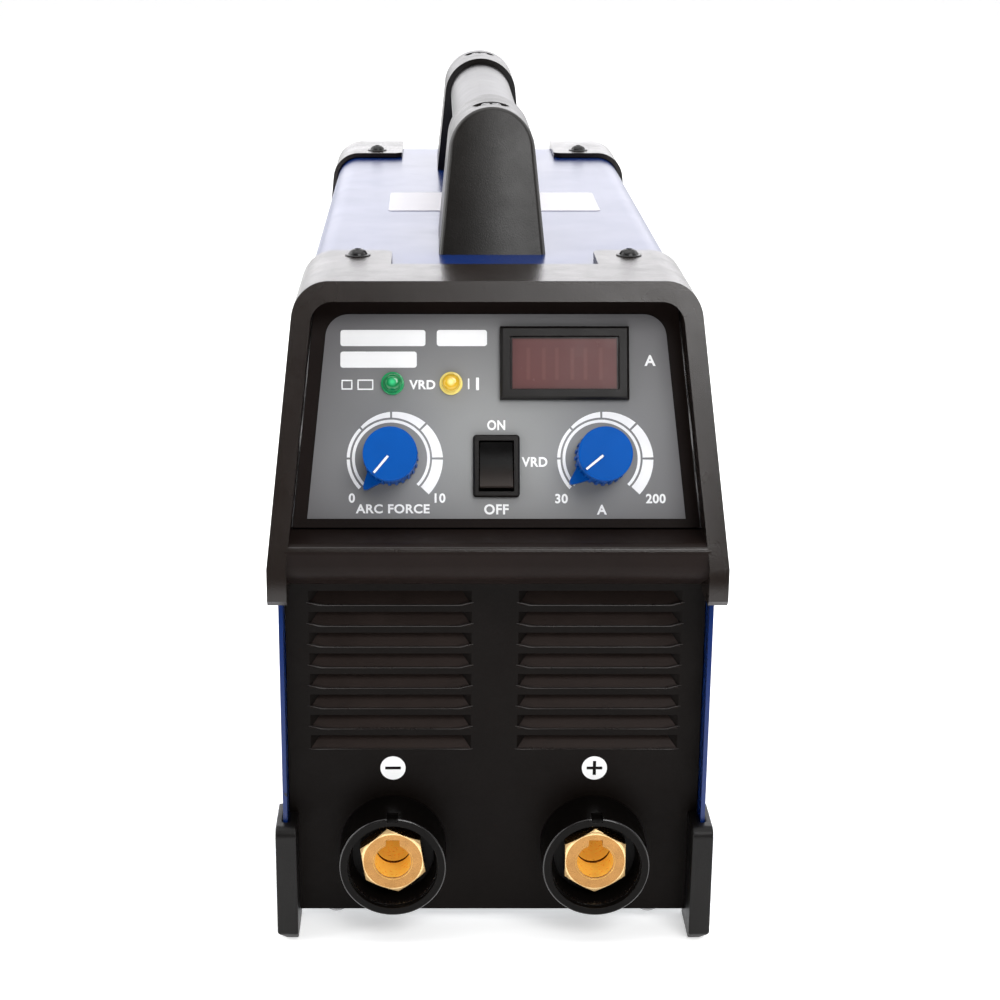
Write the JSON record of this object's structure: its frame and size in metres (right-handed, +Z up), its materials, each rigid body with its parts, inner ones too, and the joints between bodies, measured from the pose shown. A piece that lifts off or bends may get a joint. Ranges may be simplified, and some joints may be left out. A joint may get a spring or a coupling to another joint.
{
  "type": "stick welding inverter",
  "caption": "Portable stick welding inverter: folded steel case with a sloping control recess, front louvres, output sockets, a carrying handle and a rear fan.",
  "frame": {"origin": "on the floor, under the middle of the whole object", "axes": "+X to the right seen from the front, +Y to the back, +Z up"},
  "size_m": [0.155, 0.388, 0.284],
  "materials": {
    "blue_paint": "fine satin powder coat",
    "black_paint": "satin powder coat",
    "zinc_sheet": "zinc plated",
    "frame_plastic": "fine moulded texture",
    "handle_plastic": "fine moulded texture",
    "handle_tube": "satin",
    "plate_plastic": "moulded",
    "sticker_film": "printed film",
    "label_paper": "satin label",
    "black_screw": "black oxide",
    "steel_screw": "zinc plated",
    "knob_blue": "moulded",
    "shaft_steel": "plated",
    "part_plastic": "moulded",
    "switch_plastic": "moulded",
    "meter_glass": "tinted red, glossy",
    "board_green": "solder mask",
    "display": "unlit segments",
    "lens_green": "clear lens",
    "lens_yellow": "clear lens",
    "disc_white": "printed",
    "socket_plastic": "moulded thermoset",
    "socket_brass": "machined",
    "copper": "copper",
    "fan_plastic": "moulded",
    "guard_wire": "bright wire",
    "gland_plastic": "moulded nylon",
    "sink_aluminium": "extruded",
    "package_black": "moulded",
    "winding_tape": "polyester tape",
    "can_sleeve": "shrink sleeve"
  },
  "bodies": {
    "case": {"case_cover": "blue_paint", "front_panel": "black_paint", "rear_panel": "black_paint", "base_plate": "zinc_sheet", "front_bezel": "frame_plastic", "rear_protector_left": "frame_plastic", "rear_protector_right": "frame_plastic", "front_foot_left": "frame_plastic", "front_foot_right": "frame_plastic", "rear_foot_left": "frame_plastic", "rear_foot_right": "frame_plastic", "handle_front_bracket": "handle_plastic", "handle_rear_bracket": "handle_plastic", "handle_tube": "handle_tube", "control_plate": "plate_plastic", "panel_sticker": "sticker_film", "cover_label": "label_paper", "corner_screws": "black_screw", "handle_screws": "black_screw", "steel_screws": "steel_screw", "earth_screw": "steel_screw", "board_standoffs": "steel_screw", "potentiometer_nuts": "shaft_steel", "arc_force_potentiometer": "part_plastic", "current_potentiometer": "part_plastic", "vrd_switch_housing": "switch_plastic", "mains_switch_housing": "switch_plastic", "meter_bezel": "switch_plastic", "lamp_holders": "switch_plastic", "meter_window": "meter_glass", "main_board": "board_green", "control_board": "board_green", "meter_display": "display", "lamp_green": "lens_green", "lamp_yellow": "lens_yellow", "polarity_discs": "disc_white", "socket_insulator_minus": "socket_plastic", "socket_insulator_plus": "socket_plastic", "socket_contact_minus": "socket_brass", "socket_contact_plus": "socket_brass", "socket_nuts": "socket_brass", "output_busbars": "copper", "output_choke": "copper", "fan_frame": "fan_plastic", "fan_guard": "guard_wire", "cable_gland": "gland_plastic", "gland_nut": "gland_plastic", "heat_sinks": "sink_aluminium", "transistors": "package_black", "transformer_core": "package_black", "transformer_winding": "winding_tape", "capacitors": "can_sleeve"},
    "arc_force_control": {"arc_force_knob": "knob_blue", "arc_force_shaft": "shaft_steel"},
    "current_control": {"current_knob": "knob_blue", "current_shaft": "shaft_steel"},
    "vrd_rocker": {"vrd_rocker": "switch_plastic"},
    "mains_rocker": {"mains_rocker": "switch_plastic"},
    "fan_rotor": {"fan_rotor": "fan_plastic"}
  },
  "joints": [
    {"name": "arc_force_turn", "type": "hinge", "parent": "case", "child": "arc_force_control", "pos_m": [-0.0361, -0.16522, 0.17499], "axis": [0, 0.9272, -0.3746], "range_deg": [-10, 290]},
    {"name": "current_turn", "type": "hinge", "parent": "case", "child": "current_control", "pos_m": [0.0361, -0.16522, 0.17499], "axis": [0, 0.9272, -0.3746], "range_deg": [-21, 279]},
    {"name": "vrd_tip", "type": "hinge", "parent": "case", "child": "vrd_rocker", "pos_m": [0, -0.16558, 0.17222], "axis": [1, 0, 0], "range_deg": [0, 20]},
    {"name": "mains_tip", "type": "hinge", "parent": "case", "child": "mains_rocker", "pos_m": [0.028, 0.1734, 0.18], "axis": [1, 0, 0], "range_deg": [0, 20]},
    {"name": "fan_spin", "type": "hinge", "parent": "case", "child": "fan_rotor", "pos_m": [0, 0.16, 0.078], "axis": [0, 1, 0], "continuous": true}
  ]
}
